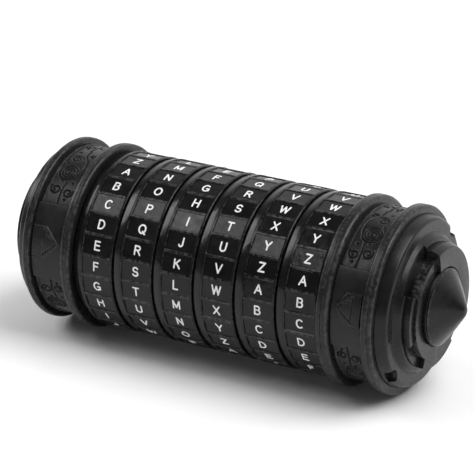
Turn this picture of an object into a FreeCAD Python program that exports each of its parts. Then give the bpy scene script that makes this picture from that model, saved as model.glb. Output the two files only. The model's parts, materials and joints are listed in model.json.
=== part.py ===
import FreeCAD, Part
import Sketcher
import math
import os
import re

from FreeCAD import Placement, Rotation, Vector

# A six-ring word-lock cylinder (cryptex) lying on its side.
#
# The axis runs along X.  Z = 0 is the surface that the four rims lie on, and X = 0 is the middle of
# the whole length.  Angles about the axis are counted from the front (-Y) upwards.
# Every turned piece is drawn about its own local Z, with local X as its zero angle, and is then laid
# on the axis by place().  "Outward" is the way from the rings to the nearer end of the object.

RING_COUNT = 6
LETTER_COUNT = 26
FLANGE_SCREW_COUNT = 4

# The angle at which the letter A stands on each ring, ring 1 at the left.
LETTER_A_ANGLES = (72.4, 255.0, 155.2, 310.2, 12.2, 23.3)

# name, value in mm (or degrees where the name ends in _angle or _sweep), meaning
SIZES = (
    ("ring_pitch", 12.8, "step from one ring to the next"),
    ("ring_gap", 0.3, "air between neighbouring rings"),
    ("ring_radius", 25.4, "tops of the ribs between the letters"),
    ("cell_radius", 25.0, "flat floor that carries a letter"),
    ("cell_start", 2.9, "from a ring's left face to the cell"),
    ("cell_length", 9.0, "cell along the axis"),
    ("cell_width", 5.1, "cell around the ring"),
    ("shoulder_radius", 24.8, "letter ring at its left face"),
    ("shoulder_length", 2.4, "sloping shoulder along the axis"),
    ("lip_drop", 0.3, "small bevel at a letter ring's right edge"),
    ("letter_bore_radius", 20.5, "bore of a letter ring"),
    ("code_radius", 20.45, "outside of a code ring"),
    ("lip_length", 4.0, "bearing lip of a code ring along the axis"),
    ("channel_radius", 19.0, "inside of a code ring beyond its lip"),
    ("gate_width", 4.8, "gate in a lip that lets a tooth through"),
    ("sleeve_radius", 16.4, "outside of the barrel"),
    ("sleeve_bore_radius", 14.2, "bore of the barrel"),
    ("running_clearance", 0.05, "radial clearance of turning and seated fits"),
    ("slot_width", 4.6, "slot of the barrel for the teeth"),
    ("sleeve_overhang", 5.6, "barrel to the left of the ring stack"),
    ("flange_radius", 20.2, "screw flanges of barrel and core"),
    ("flange_thickness", 2.0, "screw flanges of barrel and core"),
    ("flange_screw_circle", 18.3, "radius of the flange screws' circle"),
    ("screw_radius", 1.0, "shank of a flange screw or grub screw"),
    ("screw_head_radius", 1.8, "head of a flange screw"),
    ("screw_head_height", 1.1, "head of a flange screw"),
    ("track_radius", 16.85, "ball track inside a lip"),
    ("track_width", 2.4, "ball track along the axis"),
    ("dimple_radius", 0.75, "click dimple in the ball track"),
    ("dimple_depth_radius", 17.15, "bottom of the click dimples"),
    ("ball_radius", 1.0, "click ball"),
    ("ball_circle", 15.75, "centre of a click ball from the axis"),
    ("leaf_inner", 14.45, "leaf spring from the axis"),
    ("leaf_thickness", 0.25, "leaf spring"),
    ("leaf_width", 3.0, "leaf spring"),
    ("leaf_groove_radius", 14.95, "floor of the groove for the leaf spring"),
    ("leaf_groove_width", 3.4, "groove for the leaf spring"),
    ("leaf_end_margin", 6.0, "barrel end to the leaf spring's groove"),
    ("leaf_groove_length", 76.6, "groove for the leaf spring along the axis"),
    ("grip_groove_width", 1.2, "groove for the rubber ring"),
    ("grip_radius", 0.45, "half the thickness of the rubber ring"),
    ("core_radius", 14.1, "outside of the core tube"),
    ("core_bore_radius", 12.0, "message compartment"),
    ("core_floor", 2.0, "closed end of the core tube"),
    ("core_end_margin", 0.4, "open end of the core short of the stack's end"),
    ("bar_seat_radius", 12.95, "seat of the tooth bar in the core tube"),
    ("bar_top_radius", 14.0, "back of the tooth bar"),
    ("bar_width", 3.8, "tooth bar and teeth"),
    ("bar_start", 2.4, "stack's left end to the tooth bar"),
    ("bar_length", 73.6, "tooth bar"),
    ("tooth_start", 5.75, "a ring's left face to its tooth"),
    ("tooth_length", 5.0, "tooth along the axis"),
    ("tooth_tip_radius", 18.5, "tip of a tooth"),
    ("pin_screw_radius", 0.7, "shank of a tooth bar screw"),
    ("pin_head_radius", 1.3, "head of a tooth bar screw"),
    ("pin_head_height", 0.55, "head of a tooth bar screw"),
    ("retainer_radius", 20.6, "ring nut that keeps the rings on the barrel"),
    ("cap_gap_left", 1.1, "stack's left end to the left collar"),
    ("cap_gap_right", 0.2, "stack's right end to the right collar"),
    ("rim_radius", 26.8, "all four rims"),
    ("rim_round", 0.9, "rounding of the rims"),
    ("inner_rim_length", 4.0, "rim beside the rings"),
    ("outer_rim_length", 3.3, "rim at a collar's outer end"),
    ("band_radius", 24.4, "band between the rims"),
    ("right_band_length", 9.1, "band of the fixed end's collar"),
    ("left_band_length", 8.0, "band of the sliding end's collar"),
    ("cavity_radius", 20.5, "hollow of a collar"),
    ("web_thickness", 3.2, "web that holds barrel or core"),
    ("counterbore_radius", 21.0, "left collar's pocket for the ring nut"),
    ("counterbore_depth", 6.0, "left collar's pocket for the ring nut"),
    ("pointer_tip", 4.4, "collar face to the pointer's tip"),
    ("pointer_shoulder", 7.9, "collar face to the pointer's shoulders"),
    ("pointer_tail_gap", 0.3, "pointer's tail to the outer rim"),
    ("pointer_width", 9.0, "pointer around the band"),
    ("pointer_radius", 25.2, "flat face of the pointer"),
    ("spigot_radius", 20.45, "step disc's screwed-in spigot"),
    ("spigot_length", 2.8, "step disc's screwed-in spigot"),
    ("first_step_radius", 24.3, "first step at the collar"),
    ("first_step_edge", 23.2, "first step at its outer edge"),
    ("first_step_length", 3.2, "first step along the axis"),
    ("second_step_radius", 19.7, "second step at the first"),
    ("second_step_edge", 18.3, "second step at its outer edge"),
    ("second_step_length", 2.1, "second step along the axis"),
    ("spanner_radius", 21.3, "floor of the spanner notches"),
    ("spanner_width", 6.0, "spanner notch across"),
    ("spanner_depth", 2.2, "spanner notch along the axis"),
    ("lug_radius", 17.5, "lug ring at the step disc"),
    ("lug_edge", 16.7, "lug ring at the tall lug's end"),
    ("low_lug_height", 1.9, "low lugs along the axis"),
    ("tall_lug_height", 3.75, "tall lug along the axis"),
    ("lug_notch_radius", 14.2, "floor of the notches between lugs"),
    ("lug_floor", 0.5, "lug ring left under a notch"),
    ("tall_lug_sweep", 122.0, "tall lug"),
    ("wide_notch_sweep", 50.0, "notch beside the tall lug"),
    ("first_low_lug_sweep", 48.0, "low lug between the wide and the middle notch"),
    ("middle_notch_sweep", 42.0, "notch between the low lugs"),
    ("narrow_notch_sweep", 35.0, "notch before the tall lug"),
    ("lug_inner_radius", 11.2, "inside of the tall lug"),
    ("finial_radius", 10.8, "foot of the pointed end"),
    ("finial_foot", 2.0, "straight foot of the pointed end"),
    ("finial_nose_radius", 1.6, "where the nose meets the flank"),
    ("finial_nose_start", 8.15, "where the nose meets the flank"),
    ("finial_length", 8.55, "pointed end over the low lugs"),
    ("finial_flank_round", 120.0, "slightly bulging flank of the pointed end"),
    ("stud_radius", 2.0, "threaded stud"),
    ("stud_depth", 4.4, "stud in the pointed end"),
    ("stud_tail", 2.6, "stud and nut inside the step disc"),
    ("nut_radius", 3.9, "corners of the hexagon nut"),
    ("nut_pocket_radius", 4.6, "pocket for the nut"),
    ("nut_pocket_depth", 3.0, "pocket for the nut"),
    ("nut_thickness", 2.2, "hexagon nut"),
    ("word_line_angle", 12.0, "slot, gates and teeth, beside the pointers"),
)

# Lug ring: start and sweep of each notch, counted from the start of the tall lug.
LUG_NOTCHES = (
    ("tall_lug_sweep", "wide_notch_sweep"),
    ("tall_lug_sweep + wide_notch_sweep + first_low_lug_sweep", "middle_notch_sweep"),
    ("360 - narrow_notch_sweep", "narrow_notch_sweep"))
# Angles at which each lug ring's tall lug and each step disc's spanner notches start.
RIGHT_LUG_ANGLE = 200.0
LEFT_LUG_ANGLE = 141.5
SPANNER_ANGLE = 140.0
# Rings whose left edges the tooth bar's screws stand at.
BAR_SCREW_RINGS = (1, 3, 5)

doc = FreeCAD.newDocument("cryptex")
sheet = doc.addObject("Spreadsheet::Sheet", "Sizes")
size = {}
parts = []


def fill_sheet():
    for row, (name, value, meaning) in enumerate(SIZES, start=1):
        sheet.set(f"A{row}", meaning)
        sheet.set(f"B{row}", str(value))
        sheet.setAlias(f"B{row}", name)
        size[name] = value
    doc.recompute()


def bound(expression):
    """The expression with every size name made a reference to the sheet."""
    return re.sub(r"[a-z][a-z_]+", lambda word: "Sizes." + word.group()
                  if word.group() in size else word.group(), expression)


def value_of(expression):
    """The number that an expression of size names has now."""
    return float(sheet.evalExpression(bound(expression)))


def bind(item, **expressions):
    for prop, expression in expressions.items():
        item.setExpression(prop, bound(expression))


# ---------------------------------------------------------------- sketches

def origin_feature(body, role):
    return next(item for item in body.Origin.OriginFeatures if item.Role == role)


def sketch_on(body, name, role, lift="0", turn=Rotation()):
    """A sketch on one of the body's origin planes, lifted along its normal."""
    sketch = body.newObject("Sketcher::SketchObject", name)
    sketch.AttachmentSupport = [(origin_feature(body, role), "")]
    sketch.MapMode = "FlatFace"
    sketch.AttachmentOffset = Placement(Vector(0, 0, value_of(lift)), turn)
    sketch.setExpression("AttachmentOffset.Base.z", bound(lift))
    return sketch


def pin_down(sketch, geometry, end, x, y):
    """Dimension one point of a sketch from the origin, bound to the sheet."""
    for kind, expression in (("DistanceX", x), ("DistanceY", y)):
        value = value_of(expression)
        index = sketch.addConstraint(Sketcher.Constraint(kind, -1, 1, geometry, end, value))
        sketch.setExpression(f"Constraints[{index}]", bound(expression))


def arc_through(start, end, radius):
    """An arc that bulges to the left of the way from start to end."""
    middle = (start + end) * 0.5
    half = (end - start).Length / 2
    sideways = Vector(start.y - end.y, end.x - start.x, 0).normalize()
    rise = radius - math.sqrt(radius ** 2 - half ** 2)
    return Part.Arc(start, middle - sideways * rise, end)


def draw_outline(sketch, corners):
    """A closed outline.  A corner is (x, y), or (x, y, radius) where an arc starts there."""
    points = [Vector(value_of(corner[0]), value_of(corner[1]), 0) for corner in corners]
    count = len(corners)
    for index, corner in enumerate(corners):
        start = points[index]
        end = points[(index + 1) % count]
        if len(corner) == 3:
            sketch.addGeometry(arc_through(start, end, value_of(corner[2])))
        else:
            sketch.addGeometry(Part.LineSegment(start, end))
    # An arc that was drawn the other way round has its first point at the outline's second one.
    ends = []
    for index in range(count):
        curve = sketch.Geometry[index]
        forward = (curve.StartPoint - points[index]).Length < 1e-6
        ends.append((1, 2) if forward else (2, 1))
    for index, corner in enumerate(corners):
        following = (index + 1) % count
        sketch.addConstraint(Sketcher.Constraint(
            "Coincident", index, ends[index][1], following, ends[following][0]))
        pin_down(sketch, index, ends[index][0], corner[0], corner[1])
        if len(corner) == 3:
            radius = sketch.addConstraint(Sketcher.Constraint("Radius", index, value_of(corner[2])))
            sketch.setExpression(f"Constraints[{radius}]", bound(corner[2]))


def draw_rectangle(sketch, left, right, low, high):
    draw_outline(sketch, ((left, low), (right, low), (right, high), (left, high)))


def draw_circle(sketch, x, y, radius):
    centre = Vector(value_of(x), value_of(y), 0)
    circle = sketch.addGeometry(Part.Circle(centre, Vector(0, 0, 1), value_of(radius)))
    pin_down(sketch, circle, 3, x, y)
    index = sketch.addConstraint(Sketcher.Constraint("Radius", circle, value_of(radius)))
    sketch.setExpression(f"Constraints[{index}]", bound(radius))


# ---------------------------------------------------------------- features

def new_body(label):
    body = doc.addObject("PartDesign::Body", label)
    body.Label = label
    parts.append(body)
    return body


def turned(body, name, corners, sweep="360", start=0.0, cut=False):
    """Turn an outline of (radius, height) corners about the body's Z, by sweep degrees from start."""
    kind = "PartDesign::Groove" if cut else "PartDesign::Revolution"
    sketch = sketch_on(body, name + "_sketch", "XZ_Plane", turn=Rotation(Vector(0, 1, 0), start))
    draw_outline(sketch, corners)
    feature = body.newObject(kind, name)
    feature.Profile = sketch
    feature.ReferenceAxis = (sketch, ["V_Axis"])
    feature.Angle = value_of(sweep)
    feature.setExpression("Angle", bound(sweep))
    body.Tip = feature
    return feature


def extruded(body, name, sketch, length, cut=False, backwards=False):
    """Pad or pocket a sketch along its plane's normal, or against it."""
    feature = body.newObject("PartDesign::Pocket" if cut else "PartDesign::Pad", name)
    feature.Profile = sketch
    feature.setExpression("Length", bound(length))
    # A pocket cuts against the sketch's normal unless it is reversed, and a pad grows along it.
    feature.Reversed = cut != backwards
    body.Tip = feature
    return feature


def around(body, feature, count, sweep=360.0):
    """Repeat a feature about the body's Z."""
    pattern = body.newObject("PartDesign::PolarPattern", feature.Name + "_round")
    pattern.Originals = [feature]
    pattern.Axis = (origin_feature(body, "Z_Axis"), [""])
    pattern.Angle = sweep
    pattern.Occurrences = count
    body.Tip = pattern
    return pattern


def along(body, feature, count, length):
    """Repeat a feature along the body's Z."""
    pattern = body.newObject("PartDesign::LinearPattern", feature.Name + "_row")
    pattern.Originals = [feature]
    pattern.Direction = (origin_feature(body, "Z_Axis"), [""])
    pattern.setExpression("Length", bound(length))
    pattern.Occurrences = count
    body.Tip = pattern
    return pattern


def rounded_rims(body, feature):
    """Round every edge that stands at the rims' full radius."""
    doc.recompute()
    names = [f"Edge{number}" for number, edge in enumerate(feature.Shape.Edges, start=1)
             if isinstance(edge.Curve, Part.Circle)
             and abs(edge.Curve.Radius - size["rim_radius"]) < 1e-6]
    fillet = body.newObject("PartDesign::Fillet", "rim_rounding")
    fillet.Base = (feature, names)
    fillet.setExpression("Radius", bound("rim_round"))
    body.Tip = fillet


def place(item, station, angle, outward=1):
    """Lay a piece on the axis.

    Its local Z points to +X (outward = 1) or to -X, its origin comes to the station, counted from
    the middle of the ring stack, and its local X comes to the angle.
    """
    turn = math.radians(angle)
    radial = Vector(0, -math.cos(turn), math.sin(turn))
    axis = Vector(outward, 0, 0)
    rotation = Rotation(radial, axis.cross(radial), axis, "ZXY")
    item.Placement = Placement(Vector(0, 0, 0), rotation)
    item.setExpression("Placement.Base.x", bound(f"{MIDDLE} + {station}"))
    item.setExpression("Placement.Base.z", bound("rim_radius"))


# Stations, counted from the middle of the ring stack, which lies near the whole length's middle.
MIDDLE = "(cap_gap_left + left_band_length - cap_gap_right - right_band_length) / 2"
STACK_LEFT = f"(-{RING_COUNT} / 2 * ring_pitch)"
RIGHT_COLLAR = f"({RING_COUNT} / 2 * ring_pitch + cap_gap_right)"
LEFT_COLLAR = f"(-{RING_COUNT} / 2 * ring_pitch - cap_gap_left)"


def ring_station(number):
    """Left face of a ring, the first being number 0."""
    return f"({STACK_LEFT} + ring_gap / 2 + {number} * ring_pitch)"


# ---------------------------------------------------------------- rings

def letter_ring(number):
    """Outer ring: a sloping shoulder, then 26 flat cells with ribs between them."""
    width = "(ring_pitch - ring_gap)"
    body = new_body(f"letter_ring_{number + 1}")
    turned(body, "ring", (
        ("letter_bore_radius", "0"),
        ("shoulder_radius", "0"),
        ("ring_radius", "shoulder_length"),
        ("ring_radius", f"{width} - lip_drop"),
        ("ring_radius - lip_drop", width),
        ("letter_bore_radius", width)))
    sketch = sketch_on(body, "cell_sketch", "YZ_Plane", lift="cell_radius")
    draw_rectangle(sketch, "-cell_width / 2", "cell_width / 2", "cell_start", "cell_start + cell_length")
    cell = extruded(body, "cell", sketch, "ring_radius - cell_radius + 1", cut=True)
    around(body, cell, LETTER_COUNT)
    place(body, ring_station(number), LETTER_A_ANGLES[number])


def code_ring(number):
    """Inner ring: it turns on the barrel by its lip, whose gate a tooth can pass."""
    width = "(ring_pitch - ring_gap)"
    bore = "sleeve_radius + running_clearance"
    body = new_body(f"code_ring_{number + 1}")
    turned(body, "ring", (
        (bore, "0"), ("code_radius", "0"), ("code_radius", width),
        ("channel_radius", width), ("channel_radius", "lip_length"), (bore, "lip_length")))
    turned(body, "grip_groove", (
        ("letter_bore_radius - 2 * grip_radius", "(lip_length - grip_groove_width) / 2"),
        ("code_radius + 1", "(lip_length - grip_groove_width) / 2"),
        ("code_radius + 1", "(lip_length + grip_groove_width) / 2"),
        ("letter_bore_radius - 2 * grip_radius", "(lip_length + grip_groove_width) / 2")), cut=True)
    turned(body, "ball_track", (
        ("sleeve_radius - 1", "(lip_length - track_width) / 2"),
        ("track_radius", "(lip_length - track_width) / 2"),
        ("track_radius", "(lip_length + track_width) / 2"),
        ("sleeve_radius - 1", "(lip_length + track_width) / 2")), cut=True)
    sketch = sketch_on(body, "dimple_sketch", "YZ_Plane", lift="sleeve_radius")
    draw_circle(sketch, "0", "lip_length / 2", "dimple_radius")
    dimple = extruded(body, "dimple", sketch, "dimple_depth_radius - sleeve_radius", cut=True)
    around(body, dimple, LETTER_COUNT)
    sketch = sketch_on(body, "gate_sketch", "XY_Plane")
    draw_rectangle(sketch, "sleeve_radius - 1", "channel_radius", "-gate_width / 2", "gate_width / 2")
    extruded(body, "gate", sketch, "lip_length", cut=True)
    place(body, ring_station(number), size["word_line_angle"])


def grip_ring(number):
    """Rubber ring in the code ring's groove: the letter ring is set over it by hand."""
    ring = doc.addObject("Part::Torus", f"grip_ring_{number + 1}")
    ring.Label = ring.Name
    bind(ring, Radius1="letter_bore_radius - grip_radius", Radius2="grip_radius")
    place(ring, f"({ring_station(number)} + lip_length / 2)", size["word_line_angle"])
    parts.append(ring)


# ---------------------------------------------------------------- barrel

BARREL_LEFT = f"({STACK_LEFT} - sleeve_overhang)"
BARREL_LENGTH = (f"({RIGHT_COLLAR} - {BARREL_LEFT} + web_thickness)")


def flange_holes(body, base, depth):
    """The circle of holes that the flange screws pass, from the height base upwards."""
    sketch = sketch_on(body, "screw_hole_sketch", "XY_Plane", lift=base)
    draw_circle(sketch, "flange_screw_circle", "0", "screw_radius + running_clearance")
    hole = extruded(body, "screw_hole", sketch, depth, cut=True)
    around(body, hole, FLANGE_SCREW_COUNT)


def slotted_barrel():
    """Sleeve that the rings turn on, with the slot for the teeth and a screw flange."""
    body = new_body("slotted_barrel")
    turned(body, "sleeve", (
        ("sleeve_bore_radius", "0"), ("sleeve_radius", "0"), ("sleeve_radius", BARREL_LENGTH),
        ("flange_radius", BARREL_LENGTH), ("flange_radius", f"{BARREL_LENGTH} + flange_thickness"),
        ("sleeve_bore_radius", f"{BARREL_LENGTH} + flange_thickness")))
    last_tooth = f"({ring_station(RING_COUNT - 1)} + tooth_start + tooth_length)"
    sketch = sketch_on(body, "slot_sketch", "YZ_Plane", lift="core_bore_radius")
    draw_rectangle(sketch, "-slot_width / 2", "slot_width / 2",
                   "0", f"{last_tooth} - {BARREL_LEFT} + 2 * ring_gap")
    extruded(body, "slot", sketch, "ring_radius - core_bore_radius", cut=True)
    sketch = sketch_on(body, "leaf_groove_sketch", "YZ_Plane", lift="-leaf_groove_radius")
    draw_rectangle(sketch, "-leaf_groove_width / 2", "leaf_groove_width / 2",
                   "leaf_end_margin", "leaf_end_margin + leaf_groove_length")
    extruded(body, "leaf_groove", sketch, "leaf_groove_radius - core_bore_radius", cut=True)
    sketch = sketch_on(body, "ball_hole_sketch", "YZ_Plane", lift="-sleeve_radius - 1")
    draw_circle(sketch, "0", f"{ring_station(0)} - {BARREL_LEFT} + lip_length / 2",
                "ball_radius + 2 * running_clearance")
    hole = extruded(body, "ball_hole", sketch, "sleeve_radius + 1 - core_bore_radius", cut=True)
    along(body, hole, RING_COUNT, f"{RING_COUNT - 1} * ring_pitch")
    flange_holes(body, BARREL_LENGTH, "flange_thickness")
    place(body, BARREL_LEFT, size["word_line_angle"])


def retaining_collar():
    """Ring nut on the barrel's left end, with a gate of its own and three grub screws."""
    length = f"({ring_station(0)} - ring_gap - {BARREL_LEFT})"
    body = new_body("retaining_collar")
    bore = "sleeve_radius + running_clearance"
    turned(body, "collar", (
        (bore, "0"), ("retainer_radius", "0"), ("retainer_radius", length), (bore, length)))
    sketch = sketch_on(body, "gate_sketch", "XY_Plane")
    draw_rectangle(sketch, "sleeve_radius - 1", "channel_radius", "-gate_width / 2", "gate_width / 2")
    extruded(body, "gate", sketch, length, cut=True)
    sketch = sketch_on(body, "grub_hole_sketch", "XZ_Plane", lift="-retainer_radius - 1")
    draw_circle(sketch, "0", f"{length} / 2", "screw_radius + running_clearance")
    hole = extruded(body, "grub_hole", sketch, "retainer_radius + 1 - sleeve_bore_radius", cut=True)
    around(body, hole, 3, sweep=180.0)
    place(body, BARREL_LEFT, size["word_line_angle"])
    return length


def cylinder(label, radius, height, base=Vector(0, 0, 0), direction=Vector(0, 0, 1)):
    """A round bar from base along direction, in the local frame of the piece it belongs to."""
    bar = doc.addObject("Part::Cylinder", label)
    bind(bar, Radius=radius, Height=height)
    bar.Placement = Placement(base, Rotation(Vector(0, 0, 1), direction))
    return bar


def gather(label, members):
    """One node of one or more separate solids."""
    group = doc.addObject("Part::Compound", label)
    group.Label = label
    group.Links = members
    parts.append(group)
    return group


def joined(label, members):
    fusion = doc.addObject("Part::MultiFuse", label)
    fusion.Label = label
    fusion.Shapes = members
    return fusion


def retaining_screws(length):
    """Grub screws that press the ring nut's threads against the barrel."""
    height = value_of(length) / 2
    members = []
    for quarter in (1, 2, 3):
        turn = math.radians(90 * quarter)
        outwards = Vector(math.cos(turn), math.sin(turn), 0)
        base = outwards * value_of("sleeve_radius + running_clearance") + Vector(0, 0, height)
        members.append(cylinder(f"grub_screw_{quarter}", "screw_radius",
                                "retainer_radius - sleeve_radius - 4 * running_clearance", base, outwards))
    place(gather("retaining_screws", members), BARREL_LEFT, size["word_line_angle"])


def detent_spring():
    """Leaf spring behind the click balls, along the whole stack."""
    leaf = doc.addObject("Part::Box", "leaf_strip")
    bind(leaf, Length="leaf_thickness", Width="leaf_width", Height="leaf_groove_length - 2 * ring_gap")
    leaf.Placement.Base = Vector(value_of("leaf_inner"), value_of("-leaf_width / 2"), 0)
    place(gather("detent_spring", [leaf]), f"({BARREL_LEFT} + leaf_end_margin + ring_gap)",
          size["word_line_angle"] + 180)


def detent_balls():
    """A click ball under every ring, pressed in as far as the track's lands press it."""
    members = []
    for number in range(RING_COUNT):
        ball = doc.addObject("Part::Sphere", f"click_ball_{number + 1}")
        bind(ball, Radius="ball_radius")
        ball.Placement.Base = Vector(value_of("ball_circle"), 0, value_of(f"{number} * ring_pitch"))
        members.append(ball)
    place(gather("detent_balls", members), f"({ring_station(0)} + lip_length / 2)",
          size["word_line_angle"] + 180)


# ---------------------------------------------------------------- core

CORE_LEFT = f"({LEFT_COLLAR} - counterbore_depth - web_thickness - flange_thickness)"


def bar_screw_heights(base):
    """Heights of the tooth bar's screws over the station base."""
    return [f"{ring_station(number)} - {base}" for number in BAR_SCREW_RINGS]


def core_tube():
    """Tube that holds the message.  It is closed at its flange and open at its inner end."""
    length = f"(-{STACK_LEFT} - core_end_margin - {CORE_LEFT})"
    body = new_body("core_tube")
    turned(body, "tube", (
        ("0", "0"), ("flange_radius", "0"), ("flange_radius", "flange_thickness"),
        ("core_radius", "flange_thickness"), ("core_radius", length), ("core_bore_radius", length),
        ("core_bore_radius", "core_floor"), ("0", "core_floor")))
    sketch = sketch_on(body, "bar_seat_sketch", "YZ_Plane", lift="bar_seat_radius")
    draw_rectangle(sketch, "-bar_width / 2 - running_clearance", "bar_width / 2 + running_clearance",
                   f"{STACK_LEFT} - {CORE_LEFT} + bar_start - running_clearance", f"{length} + 1")
    extruded(body, "bar_seat", sketch, "ring_radius - bar_seat_radius", cut=True)
    sketch = sketch_on(body, "pin_hole_sketch", "YZ_Plane", lift="core_bore_radius - 1")
    for height in bar_screw_heights(CORE_LEFT):
        draw_circle(sketch, "0", height, "pin_screw_radius + running_clearance")
    extruded(body, "pin_holes", sketch, "3", cut=True)
    flange_holes(body, "0", "flange_thickness")
    place(body, CORE_LEFT, size["word_line_angle"])


def tooth_bar():
    """Bar with one tooth for every ring."""
    base = f"({STACK_LEFT} + bar_start)"
    body = new_body("tooth_bar")
    sketch = sketch_on(body, "bar_sketch", "XY_Plane")
    draw_rectangle(sketch, "bar_seat_radius", "bar_top_radius", "-bar_width / 2", "bar_width / 2")
    extruded(body, "bar", sketch, "bar_length")
    sketch = sketch_on(body, "tooth_sketch", "XY_Plane", lift=f"{ring_station(0)} + tooth_start - {base}")
    draw_rectangle(sketch, "bar_seat_radius", "tooth_tip_radius", "-bar_width / 2", "bar_width / 2")
    tooth = extruded(body, "tooth", sketch, "tooth_length")
    along(body, tooth, RING_COUNT, f"{RING_COUNT - 1} * ring_pitch")
    for name, lift, radius in (
            ("pin_holes", "core_bore_radius", "pin_screw_radius + running_clearance"),
            ("pin_sinks", "bar_top_radius - pin_head_height", "pin_head_radius + running_clearance")):
        sketch = sketch_on(body, name + "_sketch", "YZ_Plane", lift=lift)
        for height in bar_screw_heights(base):
            draw_circle(sketch, "0", height, radius)
        extruded(body, name, sketch, "3", cut=True)
    place(body, base, size["word_line_angle"])


def tooth_bar_screws():
    """Sunk screws that hold the tooth bar in the core tube."""
    members = []
    for number, height in enumerate(bar_screw_heights(STACK_LEFT), start=1):
        foot = Vector(value_of("core_bore_radius + running_clearance"), 0, value_of(height))
        sink = Vector(value_of("bar_top_radius - pin_head_height"), 0, value_of(height))
        shank = cylinder(f"bar_shank_{number}", "pin_screw_radius",
                         "bar_top_radius - pin_head_height - core_bore_radius", foot, Vector(1, 0, 0))
        head = cylinder(f"bar_head_{number}", "pin_head_radius", "pin_head_height", sink, Vector(1, 0, 0))
        members.append(joined(f"bar_screw_{number}", [shank, head]))
    place(gather("tooth_bar_screws", members), STACK_LEFT, size["word_line_angle"])


# ---------------------------------------------------------------- end caps

def band_end(side):
    """From a collar's inner face to the outer end of its band."""
    return f"(inner_rim_length + {side}_band_length)"


def collar_length(side):
    return f"({band_end(side)} + outer_rim_length)"


def collar(side, outward, station, web_start, bore, angle):
    """Decorated collar: two rims with a band between, a web inside, and the pointer."""
    length = collar_length(side)
    web_end = f"({web_start} + web_thickness)"
    pointer_tail = f"{band_end(side)} - pointer_tail_gap"
    outline = [
        ("rim_radius", "0"), ("rim_radius", "inner_rim_length"), ("band_radius", "inner_rim_length"),
        ("band_radius", band_end(side)), ("rim_radius", band_end(side)), ("rim_radius", length),
        ("cavity_radius", length), ("cavity_radius", web_end), (bore, web_end), (bore, web_start)]
    if value_of(web_start) > 0:
        outline += [("counterbore_radius", web_start), ("counterbore_radius", "0")]
    body = new_body(f"{side}_collar")
    shell = turned(body, "shell", outline)
    rounded_rims(body, shell)
    sketch = sketch_on(body, "pointer_sketch", "YZ_Plane", lift="band_radius - 1")
    draw_outline(sketch, (
        ("0", "pointer_tip"), ("pointer_width / 2", "pointer_shoulder"),
        ("pointer_width / 2", pointer_tail), ("-pointer_width / 2", pointer_tail),
        ("-pointer_width / 2", "pointer_shoulder")))
    extruded(body, "pointer", sketch, "pointer_radius - band_radius + 1")
    flange_holes(body, web_start, "web_thickness")
    place(body, station, angle, outward)


def step_disc(side, outward, station):
    """Two-stepped end plate, screwed into the collar with a pin spanner."""
    first = "(spigot_length + first_step_length)"
    second = "(spigot_length + first_step_length + second_step_length)"
    bore = "stud_radius + 2 * running_clearance"
    body = new_body(f"{side}_step_disc")
    turned(body, "plate", (
        ("nut_pocket_radius", "0"), ("spigot_radius", "0"), ("spigot_radius", "spigot_length"),
        ("first_step_radius", "spigot_length"), ("first_step_edge", first),
        ("second_step_radius", first), ("second_step_edge", second), (bore, second),
        (bore, "nut_pocket_depth"), ("nut_pocket_radius", "nut_pocket_depth")))
    sketch = sketch_on(body, "spanner_sketch", "XY_Plane", lift=f"{first} - spanner_depth")
    draw_rectangle(sketch, "spanner_radius", "rim_radius", "-spanner_width / 2", "spanner_width / 2")
    notch = extruded(body, "spanner_notch", sketch, "spanner_depth", cut=True)
    around(body, notch, 2)
    place(body, f"({station} + {outward} * ({collar_length(side)} - spigot_length))", SPANNER_ANGLE, outward)


def lug_ring(side, outward, station, angle):
    """Castle ring on the step disc: one tall lug, two low ones, and notches between them."""
    bore = "stud_radius + 2 * running_clearance"
    body = new_body(f"{side}_lug_ring")
    turned(body, "disc", (
        (bore, "0"), ("lug_radius", "0"), ("lug_radius", "low_lug_height"), (bore, "low_lug_height")))
    turned(body, "tall_lug", (
        ("lug_inner_radius", "lug_floor"), ("lug_radius", "lug_floor"), ("lug_radius", "low_lug_height"),
        ("lug_edge", "tall_lug_height"), ("lug_inner_radius", "tall_lug_height")), "tall_lug_sweep")
    for number, (start, sweep) in enumerate(LUG_NOTCHES, start=1):
        turned(body, f"lug_notch_{number}", (
            ("lug_notch_radius", "lug_floor"), ("rim_radius", "lug_floor"),
            ("rim_radius", "tall_lug_height + 1"), ("lug_notch_radius", "tall_lug_height + 1")),
            sweep, value_of(start), cut=True)
    place(body, station, angle, outward)


def finial(side, outward, station):
    """Pointed end with a bulging flank, tapped for the stud."""
    hole = "stud_radius + running_clearance"
    nose_height = "(finial_length - finial_nose_start)"
    # The nose's centre lies on the axis.
    nose_round = f"(finial_nose_radius ^ 2 + {nose_height} ^ 2) / (2 * {nose_height})"
    body = new_body(f"{side}_finial")
    turned(body, "point", (
        (hole, "0"), ("finial_radius", "0"), ("finial_radius", "finial_foot", "finial_flank_round"),
        ("finial_nose_radius", "finial_nose_start", nose_round), ("0", "finial_length"),
        ("0", "stud_depth + running_clearance"), (hole, "stud_depth + running_clearance")))
    place(body, station, 0, outward)


def finial_stud(side, outward, station, length):
    """Threaded stud that clamps finial, lug ring and step disc together."""
    rod = doc.addObject("Part::Cylinder", f"{side}_finial_stud")
    rod.Label = rod.Name
    bind(rod, Radius="stud_radius", Height=length)
    place(rod, station, 0, outward)
    parts.append(rod)


def stud_nut(side, outward, station):
    """Hexagon nut in the step disc's pocket."""
    blank = doc.addObject("Part::Prism", f"{side}_nut_blank")
    blank.Polygon = 6
    bind(blank, Circumradius="nut_radius", Height="nut_thickness")
    bore = cylinder(f"{side}_nut_bore", "stud_radius + running_clearance", "nut_thickness")
    nut = doc.addObject("Part::Cut", f"{side}_stud_nut")
    nut.Label = nut.Name
    nut.Base = blank
    nut.Tool = bore
    place(nut, station, 0, outward)
    parts.append(nut)


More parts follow.
